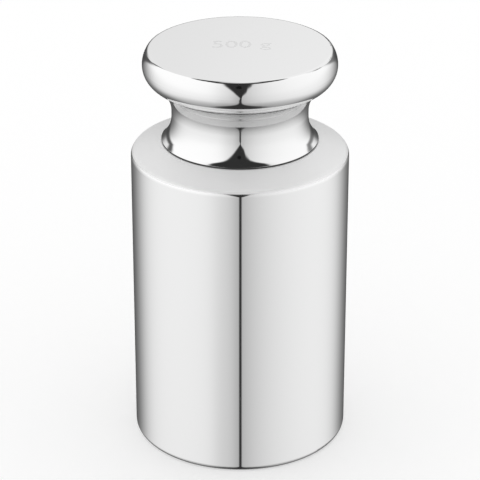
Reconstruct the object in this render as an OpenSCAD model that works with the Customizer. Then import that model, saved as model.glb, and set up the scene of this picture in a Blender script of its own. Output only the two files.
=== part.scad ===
// Cylindrical calibration weight of 500 g: a bored body, the knob that screws
// into it, and the steel shot that brings the pair to its nominal mass.
// Origin at the centre of the base, +Z up the axis, millimetres.

/* [Body] */
// Outer diameter of the body
body_d = 38; // [32:0.5:60]
// Height of the seat that carries the knob, above the base
seat_h = 55.9; // [44:0.1:90]
// Slope of the shoulder that falls away from the seat, in degrees
shoulder_slope = 21; // [5:1:30]
// Radius of the edge between the shoulder and the side
shoulder_edge_r = 1.15; // [0.3:0.05:2]
// Radius of the edge between the side and the base
foot_edge_r = 1; // [0.3:0.1:2]
// Width of the flat land left on the seat outside the foot of the knob
land_w = 0.12; // [0.05:0.01:0.5]

/* [Adjusting cavity] */
// Diameter of the bore, tapped at its mouth and left plain below it
bore_d = 20.5; // [14:0.5:24.6]
// Thickness of the floor under the cavity
floor_t = 7.4; // [3:0.1:12]
// Width of the chamfer at the mouth of the bore
mouth_chamfer = 0.6; // [0.2:0.1:0.9]

/* [Knob] */
// Outer diameter of the knob
knob_d = 33.6; // [28:0.1:40.5]
// Height of the knob above the seat
knob_h = 16.7; // [14:0.1:21]
// Radius of the rim's section above its widest line
rim_top_r = 4.5; // [4:0.1:6]
// Radius of the rim's section below its widest line
rim_r = 3.7; // [3.1:0.05:4]
// How far the rim's widest line lies below the flat top
rim_drop = 2.8; // [2:0.05:3]
// Radius of the broken edge round the flat top
top_edge_r = 0.6; // [0.1:0.05:0.8]
// Radius of the throat under the rim, where a fork or fingertips lift
throat_r = 5.9; // [4.5:0.1:7]
// Diameter of the neck at its narrowest
neck_d = 23.7; // [20:0.1:28.5]
// How far the neck flares out, on each side, down to its foot
flare_w = 1.8; // [1:0.1:3]
// Height of the flare, where the neck is tall enough for it
flare_h = 4.3; // [3:0.1:6]
// Radius of the foot's rounded edge, which leaves a fine line round the joint
joint_edge_r = 0.2; // [0.1:0.05:0.4]

/* [Threaded spigot] */
// Length of the spigot that screws into the bore
spigot_l = 8; // [5:0.5:12]
// Radial clearance between the spigot and the bore
spigot_gap = 0.08; // [0.05:0.01:0.1]
// Width of the relief groove behind the thread
relief_w = 1.5; // [0.8:0.1:2.5]
// Depth of the relief groove
relief_t = 0.9; // [0.4:0.1:1.5]
// Chamfer at the spigot's lower end
spigot_chamfer = 0.8; // [0.3:0.1:1.5]

/* [Adjusting shot] */
// Diameter of one steel ball
shot_d = 4.5; // [3:0.1:5.5]
// Number of layers of balls in the cavity
shot_layers = 5; // [1:1:5]
// Gap left between neighbouring balls and between a ball and the bore
shot_gap = 0.05; // [0.02:0.01:0.1]

/* [Hidden] */
$fn = 180;

STEEL = [0.80, 0.80, 0.81];
SHOT_STEEL = [0.55, 0.55, 0.57];

// Rounds a derived size up to the next micrometre, so that arcs that should
// touch cross by a hair and leave no gap between them.
function fine(size) = ceil(size * 1000) / 1000;

body_r = body_d / 2;
bore_r = bore_d / 2;
knob_r = knob_d / 2;
neck_r = neck_d / 2;
foot_r = neck_r + flare_w;
seat_r = foot_r + land_w;
spigot_r = bore_r - spigot_gap;

// Where the shoulder's slope would meet the side, and the centre of the arc
// that rounds that corner.
corner_z = seat_h - (body_r - seat_r) * tan(shoulder_slope);
edge_z = corner_z - shoulder_edge_r * (1 / cos(shoulder_slope) - tan(shoulder_slope));

// Rim: two circles that touch at its widest line, a larger one above it and a
// smaller one below it. The top edge's circle lies inside the larger one and
// touches both it and the flat top.
total_h = seat_h + knob_h;
widest_z = total_h - rim_drop;
rim_c = [knob_r - rim_r, widest_z];
rim_top_c = [knob_r - rim_top_r, widest_z];
edge_c_z = total_h - top_edge_r;
edge_reach = sqrt(pow(rim_top_r - top_edge_r, 2) - pow(edge_c_z - widest_z, 2));
edge_c = [fine(rim_top_c.x + edge_reach), edge_c_z];
edge_angle = atan2(edge_c.y - rim_top_c.y, edge_c.x - rim_top_c.x);

// Throat: a hollow circle about throat_c that touches the rim's circle from
// outside and comes in to the neck's radius.
throat_x = neck_r + throat_r;
throat_drop = sqrt(pow(rim_r + throat_r, 2) - pow(throat_x - rim_c.x, 2));
throat_c = [throat_x, fine(widest_z - throat_drop)];

// Flare: a hollow circle about flare_c that leaves the neck upright and touches
// the small circle of the foot's rounded edge from outside. Between the throat
// and the flare the neck is straight.
joint_c = [foot_r - joint_edge_r, seat_h + joint_edge_r];
flare_rise = min(flare_h, throat_c.y - joint_c.y);
flare_reach = flare_w - joint_edge_r;
flare_sum = pow(flare_reach, 2) + pow(flare_rise, 2) - pow(joint_edge_r, 2);
flare_r = fine(flare_sum / (2 * flare_w));
flare_c = [neck_r + flare_r, joint_c.y + flare_rise];

// Cavity left below the spigot, and the rings that the shot lies in.
cavity_top = seat_h - spigot_l;
shot_r = shot_d / 2;
shot_pitch = shot_d + shot_gap;
outer_ring_r = bore_r - shot_r - shot_gap;
inner_ring_r = outer_ring_r - shot_pitch;

// Balls that fit in a ring of radius r: one on the axis if there is no room
// for more.
function ring_count(r) = r < shot_pitch / 2 ? 1 : floor(180 / asin(shot_pitch / (2 * r)));
// A ring of one ball lies on the axis.
function ring_radius(r) = ring_count(r) == 1 ? 0 : r;
// Distance across between a ball and the two that it rests on, in rings turned
// by half a step.
function half_step(r) = 2 * ring_radius(r) * sin(90 / ring_count(r));
// Rise from one layer to the next.
function layer_rise(r) = sqrt(pow(shot_pitch, 2) - pow(half_step(r), 2));

module disc_at(c, r) {
    translate(c) circle(r = r);
}

module body_outline() {
    side = [body_r, edge_z];
    shoulder = [body_r - shoulder_edge_r * (1 - sin(shoulder_slope)),
                edge_z + shoulder_edge_r * cos(shoulder_slope)];
    polygon([[0, 0], [body_r - foot_edge_r, 0], [body_r, foot_edge_r],
             side, shoulder, [seat_r, seat_h], [0, seat_h]]);
    disc_at([body_r - foot_edge_r, foot_edge_r], foot_edge_r);
    disc_at([body_r - shoulder_edge_r, edge_z], shoulder_edge_r);
}

module bore() {
    translate([0, 0, floor_t]) cylinder(r = bore_r, h = seat_h);
    translate([0, 0, seat_h - mouth_chamfer])
        cylinder(r1 = bore_r, r2 = bore_r + 2 * mouth_chamfer, h = 2 * mouth_chamfer);
}

module body() {
    color(STEEL)
        difference() {
            rotate_extrude() body_outline();
            bore();
        }
}

// The rim above its widest line, up to the line through the top edge's centre,
// and below it. The lower part reaches up a little into the upper one.
module rim_section() {
    reach = 2 * rim_top_r;
    intersection() {
        disc_at(rim_top_c, rim_top_r);
        polygon([rim_top_c, rim_top_c + reach * [cos(edge_angle), sin(edge_angle)],
                 rim_top_c + [reach, 0]]);
    }
    intersection() {
        disc_at(rim_c, rim_r);
        translate([rim_c.x - rim_r, widest_z - 2 * rim_r])
            square([2 * rim_r, 2 * rim_r + rim_drop / 4]);
    }
}

// The knob's head: the rim, the broken edge and the flat top between them.
module head_outline() {
    rim_section();
    disc_at(edge_c, top_edge_r);
    polygon([[0, widest_z - rim_r / 2], [rim_c.x, widest_z - rim_r / 2], rim_c,
             edge_c, [edge_c.x, total_h], [0, total_h]]);
}

// Half of a circle's disc, above or below the line through its centre.
module half_disc_at(c, r, above) {
    intersection() {
        disc_at(c, r);
        translate([c.x - 2 * r, above ? c.y : c.y - 2 * r]) square([4 * r, 2 * r]);
    }
}

// The throat is hollowed out above the straight part of the neck, the flare
// below it.
module neck_outline() {
    difference() {
        polygon([[0, seat_h], [joint_c.x, seat_h], joint_c, flare_c, [neck_r, flare_c.y],
                 [neck_r, throat_c.y], throat_c, rim_c, [0, widest_z]]);
        half_disc_at(throat_c, throat_r, true);
        half_disc_at(flare_c, flare_r, false);
    }
    disc_at(joint_c, joint_edge_r);
}

module spigot_outline() {
    relief_r = spigot_r - relief_t;
    relief_z = seat_h - relief_w;
    polygon([[0, cavity_top], [spigot_r - spigot_chamfer, cavity_top],
             [spigot_r, cavity_top + spigot_chamfer], [spigot_r, relief_z - relief_t],
             [relief_r, relief_z], [relief_r, seat_h], [0, seat_h]]);
}

module knob() {
    color(STEEL)
        rotate_extrude() {
            head_outline();
            neck_outline();
            spigot_outline();
        }
}

// Balls of one ring, stacked in layers that are turned by half a step so that
// each ball lies between two below it.
module shot_stack(r) {
    count = ring_count(r);
    for (layer = [0 : shot_layers - 1])
        for (i = [0 : count - 1])
            rotate([0, 0, 360 / count * (i + layer % 2 / 2)])
                translate([ring_radius(r), 0, floor_t + shot_gap + shot_r + layer * layer_rise(r)])
                    sphere(r = shot_r);
}

module adjusting_shot() {
    color(SHOT_STEEL) {
        shot_stack(outer_ring_r);
        if (inner_ring_r >= 0) shot_stack(inner_ring_r);
    }
}

body();
knob();
adjusting_shot();
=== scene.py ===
"""Studio scene for a mirror-polished calibration weight of 500 g.

The weight is a turned cylinder with a sloping shoulder and a knob screwed into it. It
stands on a pale floor in a white light tent, and its metal mirrors the tent.
"""

import math

import bpy
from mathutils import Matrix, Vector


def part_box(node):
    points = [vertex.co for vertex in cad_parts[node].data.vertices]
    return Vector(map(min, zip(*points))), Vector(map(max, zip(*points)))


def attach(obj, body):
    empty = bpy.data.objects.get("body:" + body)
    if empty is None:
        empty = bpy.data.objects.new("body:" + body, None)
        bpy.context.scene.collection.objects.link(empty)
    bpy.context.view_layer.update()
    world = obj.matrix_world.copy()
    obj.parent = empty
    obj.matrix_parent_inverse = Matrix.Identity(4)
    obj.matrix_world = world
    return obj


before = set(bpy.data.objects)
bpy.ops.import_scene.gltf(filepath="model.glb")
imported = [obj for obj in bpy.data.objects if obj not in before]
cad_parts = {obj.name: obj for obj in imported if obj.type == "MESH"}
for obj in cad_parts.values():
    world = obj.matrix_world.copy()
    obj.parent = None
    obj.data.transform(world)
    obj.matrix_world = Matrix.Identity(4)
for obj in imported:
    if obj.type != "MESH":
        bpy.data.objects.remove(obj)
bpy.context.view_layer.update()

MM = 0.001

# ---------------------------------------------------------------- camera

CAMERA_DISTANCE = 0.3690  # from the weight's axis, along -Y
CAMERA_HEIGHT = 0.2130
CAMERA_PITCH = math.radians(25.59)  # below the horizontal
CAMERA_LENS = 173.0
SENSOR_WIDTH = 36.0
CLIP_START = 0.01

camera_data = bpy.data.cameras.new("camera")
camera_data.sensor_width = SENSOR_WIDTH
camera_data.lens = CAMERA_LENS
camera_data.clip_start = CLIP_START
camera = bpy.data.objects.new("camera", camera_data)
camera.location = (0.0, -CAMERA_DISTANCE, CAMERA_HEIGHT)
camera.rotation_euler = (math.pi / 2 - CAMERA_PITCH, 0.0, 0.0)
bpy.context.scene.collection.objects.link(camera)
bpy.context.scene.camera = camera
bpy.context.scene.view_settings.view_transform = "Standard"


# ---------------------------------------------------------------- node helpers


class Net:
    """A node tree with short calls for the nodes that this scene uses.

    Each call takes numbers or sockets and gives back a socket.
    """

    def __init__(self, tree):
        self.tree = tree
        tree.nodes.clear()

    def node(self, kind, **settings):
        made = self.tree.nodes.new(kind)
        for name, value in settings.items():
            setattr(made, name, value)
        return made

    def feed(self, socket, value):
        if isinstance(value, bpy.types.NodeSocket):
            self.tree.links.new(value, socket)
        else:
            socket.default_value = value

    def math(self, operation, *values):
        made = self.node("ShaderNodeMath", operation=operation)
        for socket, value in zip(made.inputs, values):
            self.feed(socket, value)
        return made.outputs[0]

    def add(self, a, b):
        return self.math("ADD", a, b)

    def less(self, a, b):
        return self.math("SUBTRACT", a, b)

    def times(self, a, b):
        return self.math("MULTIPLY", a, b)

    def over(self, value, middle, softness):
        """0 well below middle and 1 well above it, as an S curve as wide as softness says."""
        scaled = self.math("DIVIDE", self.less(value, middle), self.times(softness, 2.0))
        return self.add(self.times(self.math("TANH", scaled), 0.5), 0.5)

    def under(self, value, middle, softness):
        """1 well below middle and 0 well above it."""
        return self.less(1.0, self.over(value, middle, softness))

    def mix(self, amount, a, b):
        """a where amount is 0, and b where it is 1."""
        made = self.node("ShaderNodeMix", data_type="FLOAT", clamp_factor=True)
        self.feed(made.inputs[0], amount)
        self.feed(made.inputs[2], a)
        self.feed(made.inputs[3], b)
        return made.outputs[0]


# ---------------------------------------------------------------- studio

# The tent's brightness is written by direction. Azimuth starts at the front and grows to
# the right, turn is its size, and rise starts at the horizontal. All are in degrees.
# A name in _EDGE holds the middle of a step and its softness, and a name in _SIDES the
# values on the left and on the right.
RIGHT_EDGE = (0.0, 4.0)

# The two screens, and how much duller they are near the gap, below eye level and low down.
SCREEN_SIDES = (1.0, 0.99)
FADE_SIDES = (0.55, 0.50)
FADE_TURN_SIDES = (-16.0, -35.0)
LEVEL_EDGE = (-10.0, 6.0)
LEVEL_SIDES = (0.865, 0.90)
LOW_EDGES = ((-41.0, 4.5), (-58.0, 5.0))
LOW_LEVEL = 0.60

# A dull fold in the left screen, deeper low down.
FOLD_TURN = 20.0
FOLD_WIDTH = 11.0
FOLD_EDGE = (-28.0, 1.5)
FOLD_LOW_DEPTH = 0.11
FOLD_DEPTH = 0.06

# The dark at the back below eye level, which reaches further forward low down.
DARK_BACK = 0.07
BACK_TURN_SIDES = (131.0, 134.0)
BACK_SOFTNESS = 11.0
BACK_TOP_EDGE = (2.0, 4.0)
BACK_LOW_EDGE = (-43.0, 5.0)
BACK_LOW_TURN = 20.0

# The pale wall behind, whose foot is dark.
WALL_SIDES = (0.78, 0.86)
WALL_SEAM_EDGE = (0.0, 1.2)
WALL_FOOT_TURN_EDGE = (145.0, 3.0)
WALL_FOOT_RISE_EDGE = (12.0, 3.0)

# The far end of each screen, which slants below a certain rise, and its dark hem.
END_TURN = 126.0
END_SLANT = 1.2
END_SLANT_RISE = 12.0
END_SOFTNESS = 1.0
HEM_EDGE = (5.0, 1.0)
HEM_FOOT_EDGE = (-20.0, 4.0)
HEM_TOP_EDGE = (38.0, 2.0)
HEM_STRENGTH_SIDES = (0.95, 0.8)
HEM_TONE = 0.05

# The gap: half its width, how it opens upwards from below eye level, how it opens under
# the table, how far it leans to the left high up, and the softness of its edges.
GAP_WIDTH = 1.3
GAP_TONE = 0.028
GAP_START = 12.0
GAP_STEEPEST = 80.0
GAP_SPREAD = 0.23
GAP_TOP_SOFTNESS = 3.5
GAP_TOP_WIDTH = 70.0
GAP_FOOT_EDGE = (-62.0, 5.0)
GAP_FOOT_WIDTH = 70.0
GAP_LEAN_EDGE = (25.0, 9.0)
GAP_LEAN_LOW = -0.4
GAP_LEAN_HIGH = 3.4
GAP_SOFTNESS = 0.2
GAP_TOP_BLUR = 0.05
GAP_FOOT_BLUR = 3.0

# The dark ceiling, which covers the front only, and the lamp in its middle.
CEILING_RISE = 55.0
CEILING_SOFTNESS = 1.5
CEILING_BACK_EDGE = (0.10, 0.03)
CEILING_TAPER = 0.5
LAMP_EDGE = (78.0, 1.0)
LAMP_TONE = 0.75

# The camera's lens, a black spot in the gap.
LENS_AZIMUTH = 1.5  # to the left
LENS_RISE = 32.0
LENS_WIDTH = 3.5
LENS_HEIGHT = 6.0
LENS_EDGE = (1.0, 0.1)
LENS_LEVEL = 0.3

METAL_GAIN = 1.17  # makes up for the light that the steel itself takes


def light_tent(net):
    """The brightness of the studio in each direction, as the polished metal sees it.

    Two tall white screens almost meet in front and leave a dark gap between them.
    """
    split = net.node("ShaderNodeSeparateXYZ")
    net.feed(split.inputs[0], net.node("ShaderNodeTexCoord").outputs["Generated"])
    x, y, z = split.outputs
    azimuth = net.math("DEGREES", net.math("ARCTAN2", x, net.times(y, -1.0)))
    turn = net.math("ABSOLUTE", azimuth)
    rise = net.math("DEGREES", net.math("ARCSINE", z))
    right = net.over(azimuth, *RIGHT_EDGE)

    # The screens, duller towards the gap between them and low down.
    fade = net.math("EXPONENT", net.math("DIVIDE", turn, net.mix(right, *FADE_TURN_SIDES)))
    fade = net.times(fade, net.mix(right, *FADE_SIDES))
    tent = net.times(net.mix(right, *SCREEN_SIDES), net.less(1.0, fade))
    level = net.mix(right, *LEVEL_SIDES)
    tent = net.times(tent, net.mix(net.over(rise, *LEVEL_EDGE), level, 1.0))
    for low_edge in LOW_EDGES:
        tent = net.times(tent, net.mix(net.over(rise, *low_edge), LOW_LEVEL, 1.0))

    # The fold in the left screen, beside the gap.
    fold = net.math("DIVIDE", net.add(azimuth, FOLD_TURN), FOLD_WIDTH)
    fold = net.math("EXPONENT", net.times(net.times(fold, fold), -1.0))
    depth = net.mix(net.over(rise, *FOLD_EDGE), FOLD_LOW_DEPTH, FOLD_DEPTH)
    tent = net.times(tent, net.less(1.0, net.times(fold, depth)))

    # The dark towards the back.
    forward = net.times(net.under(rise, *BACK_LOW_EDGE), BACK_LOW_TURN)
    back_turn = net.less(net.mix(right, *BACK_TURN_SIDES), forward)
    back = net.over(turn, back_turn, BACK_SOFTNESS)
    back = net.times(back, net.under(rise, *BACK_TOP_EDGE))
    tent = net.mix(back, tent, DARK_BACK)

    # The wall behind, past the end of each screen and a little brighter on the right.
    behind = net.math("DEGREES", net.math("ARCTAN2", x, y))
    pale = net.mix(net.over(behind, *WALL_SEAM_EDGE), *WALL_SIDES)
    foot = net.times(
        net.over(turn, *WALL_FOOT_TURN_EDGE), net.under(rise, *WALL_FOOT_RISE_EDGE)
    )
    wall = net.mix(foot, pale, DARK_BACK)
    below = net.math("MAXIMUM", net.less(END_SLANT_RISE, rise), 0.0)
    end_turn = net.add(END_TURN, net.times(below, END_SLANT))
    tent = net.mix(net.over(turn, end_turn, END_SOFTNESS), tent, wall)

    # The dark hem at the end of each screen.
    off_end = net.math("ABSOLUTE", net.less(turn, end_turn))
    tall = net.times(net.over(rise, *HEM_FOOT_EDGE), net.under(rise, *HEM_TOP_EDGE))
    hem = net.times(net.under(off_end, *HEM_EDGE), tall)
    tent = net.mix(net.times(hem, net.mix(right, *HEM_STRENGTH_SIDES)), tent, HEM_TONE)

    # The gap, a narrow slit that opens upwards like a V into the dark ceiling, and wide
    # under the table.
    climb = net.math("MAXIMUM", net.add(rise, GAP_START), 0.0)
    climb = net.math("MINIMUM", climb, GAP_STEEPEST)
    slope = net.math("TANGENT", net.math("RADIANS", climb))
    sine = net.math("MINIMUM", net.times(slope, GAP_SPREAD), 1.0)
    opening = net.math("DEGREES", net.math("ARCSINE", sine))
    at_top = net.over(rise, CEILING_RISE, GAP_TOP_SOFTNESS)
    opening = net.add(opening, net.times(at_top, GAP_TOP_WIDTH))
    foot_width = net.times(net.under(rise, *GAP_FOOT_EDGE), GAP_FOOT_WIDTH)
    gap = net.add(GAP_WIDTH, net.add(opening, foot_width))
    lean = net.mix(net.over(rise, *GAP_LEAN_EDGE), GAP_LEAN_LOW, GAP_LEAN_HIGH)
    gap_turn = net.math("ABSOLUTE", net.add(azimuth, lean))
    blur = net.times(net.add(opening, net.times(foot_width, GAP_FOOT_BLUR)), GAP_TOP_BLUR)
    lit = net.over(gap_turn, gap, net.add(GAP_SOFTNESS, blur))

    # The ceiling and its lamp.
    backward = net.add(y, net.times(net.math("ABSOLUTE", x), CEILING_TAPER))
    ceiling = net.times(
        net.over(rise, CEILING_RISE, CEILING_SOFTNESS),
        net.under(backward, *CEILING_BACK_EDGE),
    )
    tent = net.mix(net.times(lit, net.less(1.0, ceiling)), GAP_TONE, tent)
    tent = net.mix(net.over(rise, *LAMP_EDGE), tent, LAMP_TONE)

    # The lens.
    off_side = net.math("DIVIDE", net.add(azimuth, LENS_AZIMUTH), LENS_WIDTH)
    off_rise = net.math("DIVIDE", net.less(rise, LENS_RISE), LENS_HEIGHT)
    squares = net.add(net.times(off_side, off_side), net.times(off_rise, off_rise))
    off_lens = net.math("SQRT", squares)
    return net.times(tent, net.mix(net.over(off_lens, *LENS_EDGE), LENS_LEVEL, 1.0))


world = bpy.data.worlds.new("studio")
bpy.context.scene.world = world
world.use_nodes = True
net = Net(world.node_tree)
path = net.node("ShaderNodeLightPath")
tent = net.times(light_tent(net), METAL_GAIN)
seen = net.mix(path.outputs["Is Glossy Ray"], 1.0, tent)
background = net.node("ShaderNodeBackground")
background.inputs["Color"].default_value = (1.0, 1.0, 1.0, 1.0)
net.feed(background.inputs["Strength"], seen)
net.feed(net.node("ShaderNodeOutputWorld").inputs["Surface"], background.outputs[0])

# ---------------------------------------------------------------- floor

FLOOR_SIDE = 6.0
FLOOR_TONE = (0.75, 0.75, 0.75)
FLOOR_GLOW = 0.25  # added for the camera, so that the floor is as white as the world
FLOOR_DROP = 0.01 * MM  # below the base, which would otherwise flicker through it

floor_mesh = bpy.data.meshes.new("floor")
half = FLOOR_SIDE / 2
corners = [(-half, -half, 0), (half, -half, 0), (half, half, 0), (-half, half, 0)]
floor_mesh.from_pydata(corners, [], [(0, 1, 2, 3)])
floor = bpy.data.objects.new("floor", floor_mesh)
bpy.context.scene.collection.objects.link(floor)
floor.location.z = -FLOOR_DROP
floor.visible_glossy = False

floor_material = bpy.data.materials.new("floor")
floor_material.use_nodes = True
net = Net(floor_material.node_tree)
diffuse = net.node("ShaderNodeBsdfDiffuse")
diffuse.inputs["Color"].default_value = (*FLOOR_TONE, 1.0)
glow = net.node("ShaderNodeEmission")
camera_ray = net.node("ShaderNodeLightPath").outputs["Is Camera Ray"]
net.feed(glow.inputs["Strength"], net.times(camera_ray, FLOOR_GLOW))
both = net.node("ShaderNodeAddShader")
net.feed(both.inputs[0], diffuse.outputs[0])
net.feed(both.inputs[1], glow.outputs[0])
net.feed(net.node("ShaderNodeOutputMaterial").inputs["Surface"], both.outputs[0])
floor_mesh.materials.append(floor_material)

# ---------------------------------------------------------------- metal

# Sizes are in millimetres. A noise is its size and its detail, and a name in _EDGE holds
# the middle of a step and its softness.
STEEL = (0.85, 0.85, 0.85)
MIRROR = 0.02
SMEAR_NOISE = (9.0, 5.0)
SMEAR_CONTRAST = 3.0
SMEAR_BLUR = 0.10
WAVE_NOISE = (14.0, 2.0)
WAVE_HEIGHT = 0.004

# The shoulder: where it is, its turned satin and the rings left by the tool.
SATIN_HEIGHT_EDGE = (53.70, 0.04)
SATIN_REACH_EDGE = (13.3, 0.05)
SATIN = 0.42
SATIN_NOISE = (2.0, 4.0)
SATIN_BLUR = 0.06
SATIN_STEEL = (0.88, 0.88, 0.88)
SATIN_METAL = 0.3
RING_PITCH = 0.35
RING_HEIGHT = 0.0004

# The joint at the knob's foot, painted nearly black as the shadow in the crease between knob
# and body.
JOINT_HEIGHT_EDGE = (56.21, 0.01)
JOINT_REACH_EDGE = (13.3, 0.02)
# painted shadow: a dark line in the crease at the knob's foot
JOINT_PAINTED_SHADOW = (0.06, 0.06, 0.06)
JOINT_ROUGHNESS = 0.5

# The throat under the knob's rim, whose steel is painted darker as shade under the rim, and
# which is also rougher.
THROAT_FOOT_EDGE = (61.6, 0.3)
THROAT_TOP_EDGE = (66.1, 0.1)
THROAT_REACH_EDGE = (14.4, 0.2)
# painted shade: the steel under the rim is darker, as if shaded
THROAT_PAINTED_SHADE = (0.66, 0.66, 0.66)
THROAT_NOISE = (3.0, 4.0)
THROAT_BLUR = 0.14

SHOT = (0.58, 0.58, 0.60)
SHOT_DULL = (0.48, 0.48, 0.49)
SHOT_NOISE = (1.2, 4.0)
SHOT_ROUGHNESS = 0.22
SHOT_BLUR = 0.2


def place(net):
    """Distance from the weight's axis and height above its base, in millimetres."""
    split = net.node("ShaderNodeSeparateXYZ")
    net.feed(split.inputs[0], net.node("ShaderNodeTexCoord").outputs["Object"])
    x, y, z = (net.math("DIVIDE", value, MM) for value in split.outputs)
    reach = net.math("SQRT", net.add(net.times(x, x), net.times(y, y)))
    return reach, z


def new_finish(name, colour):
    """A metal of one colour, with its node tree and its shader."""
    material = bpy.data.materials.new(name)
    material.use_nodes = True
    net = Net(material.node_tree)
    shader = net.node("ShaderNodeBsdfPrincipled")
    shader.inputs["Base Color"].default_value = (*colour, 1.0)
    shader.inputs["Metallic"].default_value = 1.0
    net.feed(net.node("ShaderNodeOutputMaterial").inputs["Surface"], shader.outputs[0])
    return material, net, shader


def noise(net, size, detail):
    """Values round 0.5 that vary over the given distance in millimetres."""
    made = net.node("ShaderNodeTexNoise", noise_dimensions="3D")
    net.feed(made.inputs["Vector"], net.node("ShaderNodeTexCoord").outputs["Object"])
    made.inputs["Scale"].default_value = 1.0 / (size * MM)
    made.inputs["Detail"].default_value = detail
    return made.outputs[0]


def blend(net, amount, colour_a, colour_b):
    """colour_a where amount is 0, and colour_b where it is 1."""
    made = net.node("ShaderNodeMix", data_type="RGBA")
    net.feed(made.inputs[0], amount)
    for socket, colour in ((made.inputs[6], colour_a), (made.inputs[7], colour_b)):
        if isinstance(colour, bpy.types.NodeSocket):
            net.feed(socket, colour)
        else:
            socket.default_value = (*colour, 1.0)
    return made.outputs[2]


def bump(net, shader, height):
    """Shapes the surface by a height in millimetres."""
    made = net.node("ShaderNodeBump")
    made.inputs["Strength"].default_value = 1.0
    made.inputs["Distance"].default_value = MM
    net.feed(made.inputs["Height"], height)
    net.feed(shader.inputs["Normal"], made.outputs[0])


def polish(net):
    """Roughness of a buffed surface with faint smears, and its waviness in millimetres."""
    smear = net.math("POWER", noise(net, *SMEAR_NOISE), SMEAR_CONTRAST)
    rough = net.add(MIRROR, net.times(smear, SMEAR_BLUR))
    wave = net.times(noise(net, *WAVE_NOISE), WAVE_HEIGHT)
    return rough, wave


def body_steel():
    """Mirror polish on the side and the base, and turned satin on the shoulder."""
    material, net, shader = new_finish("body_steel", STEEL)
    reach, height = place(net)
    satin = net.times(net.over(height, *SATIN_HEIGHT_EDGE), net.over(reach, *SATIN_REACH_EDGE))
    rough, wave = polish(net)
    satin_rough = net.add(SATIN, net.times(noise(net, *SATIN_NOISE), SATIN_BLUR))
    net.feed(shader.inputs["Roughness"], net.mix(satin, rough, satin_rough))
    net.feed(shader.inputs["Base Color"], blend(net, satin, STEEL, SATIN_STEEL))
    net.feed(shader.inputs["Metallic"], net.mix(satin, 1.0, SATIN_METAL))
    rings = net.math("SINE", net.times(reach, 2.0 * math.pi / RING_PITCH))
    rings = net.times(net.times(rings, satin), RING_HEIGHT)
    bump(net, shader, net.add(wave, rings))
    return material


def knob_steel():
    """Mirror polish. Under the rim the steel is rougher and painted darker as shade, and a dark
    shadow line is painted round the knob's foot where it meets the body.
    """
    material, net, shader = new_finish("knob_steel", STEEL)
    reach, height = place(net)
    joint_shade = net.times(net.under(height, *JOINT_HEIGHT_EDGE), net.over(reach, *JOINT_REACH_EDGE))
    shaded_throat = net.times(net.over(height, *THROAT_FOOT_EDGE), net.under(height, *THROAT_TOP_EDGE))
    shaded_throat = net.times(shaded_throat, net.under(reach, *THROAT_REACH_EDGE))
    rough, wave = polish(net)
    # painted shade: the steel under the rim is darkened, standing in for the shade that falls
    # there
    shaded_tone = blend(net, shaded_throat, STEEL, THROAT_PAINTED_SHADE)
    # painted shadow: a nearly black line round the knob's foot, where shade falls in the crease
    net.feed(shader.inputs["Base Color"], blend(net, joint_shade, shaded_tone, JOINT_PAINTED_SHADOW))
    blur = net.times(net.times(shaded_throat, noise(net, *THROAT_NOISE)), THROAT_BLUR)
    rough = net.add(rough, blur)
    net.feed(shader.inputs["Roughness"], net.mix(joint_shade, rough, JOINT_ROUGHNESS))
    bump(net, shader, wave)
    return material


def shot_steel():
    """Plain steel balls, dull and faintly mottled."""
    material, net, shader = new_finish("shot_steel", SHOT)
    mottle = noise(net, *SHOT_NOISE)
    net.feed(shader.inputs["Base Color"], blend(net, mottle, SHOT, SHOT_DULL))
    rough = net.add(SHOT_ROUGHNESS, net.times(mottle, SHOT_BLUR))
    net.feed(shader.inputs["Roughness"], rough)
    return material


finishes = {"body": body_steel(), "knob": knob_steel(), "adjusting_shot": shot_steel()}
for name, finish in finishes.items():
    for material_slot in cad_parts[name].material_slots:
        material_slot.material = finish

# ---------------------------------------------------------------- nominal value

MARK_TEXT = "500 g"
MARK_PLACE = (0.2, 1.6)  # from the axis, in millimetres
MARK_SIZE = 4.7
MARK_LIFT = 0.004  # how far it stands above the flat top, and reaches below it
MARK_SMOOTHNESS = 6
MARK = (0.82, 0.82, 0.82)
MARK_DULL = (0.79, 0.79, 0.79)
MARK_NOISE = (0.4, 3.0)
MARK_ROUGHNESS = 0.20
MARK_BLUR = 0.1


def mark_steel():
    """The nominal value, faintly etched into the polish."""
    material, net, shader = new_finish("mark_steel", MARK)
    grain = noise(net, *MARK_NOISE)
    net.feed(shader.inputs["Base Color"], blend(net, grain, MARK, MARK_DULL))
    rough = net.add(MARK_ROUGHNESS, net.times(grain, MARK_BLUR))
    net.feed(shader.inputs["Roughness"], rough)
    return material


mark_text = bpy.data.curves.new("nominal_value", "FONT")
mark_text.body = MARK_TEXT
mark_text.size = MARK_SIZE * MM
mark_text.align_x = "CENTER"
mark_text.align_y = "CENTER"
mark_text.resolution_u = MARK_SMOOTHNESS
mark_text.extrude = MARK_LIFT * MM
mark = bpy.data.objects.new("nominal_value", mark_text)
top_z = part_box("knob")[1][2]
mark.location = (MARK_PLACE[0] * MM, MARK_PLACE[1] * MM, top_z)
bpy.context.scene.collection.objects.link(mark)
mark_text.materials.append(mark_steel())
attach(mark, "root")
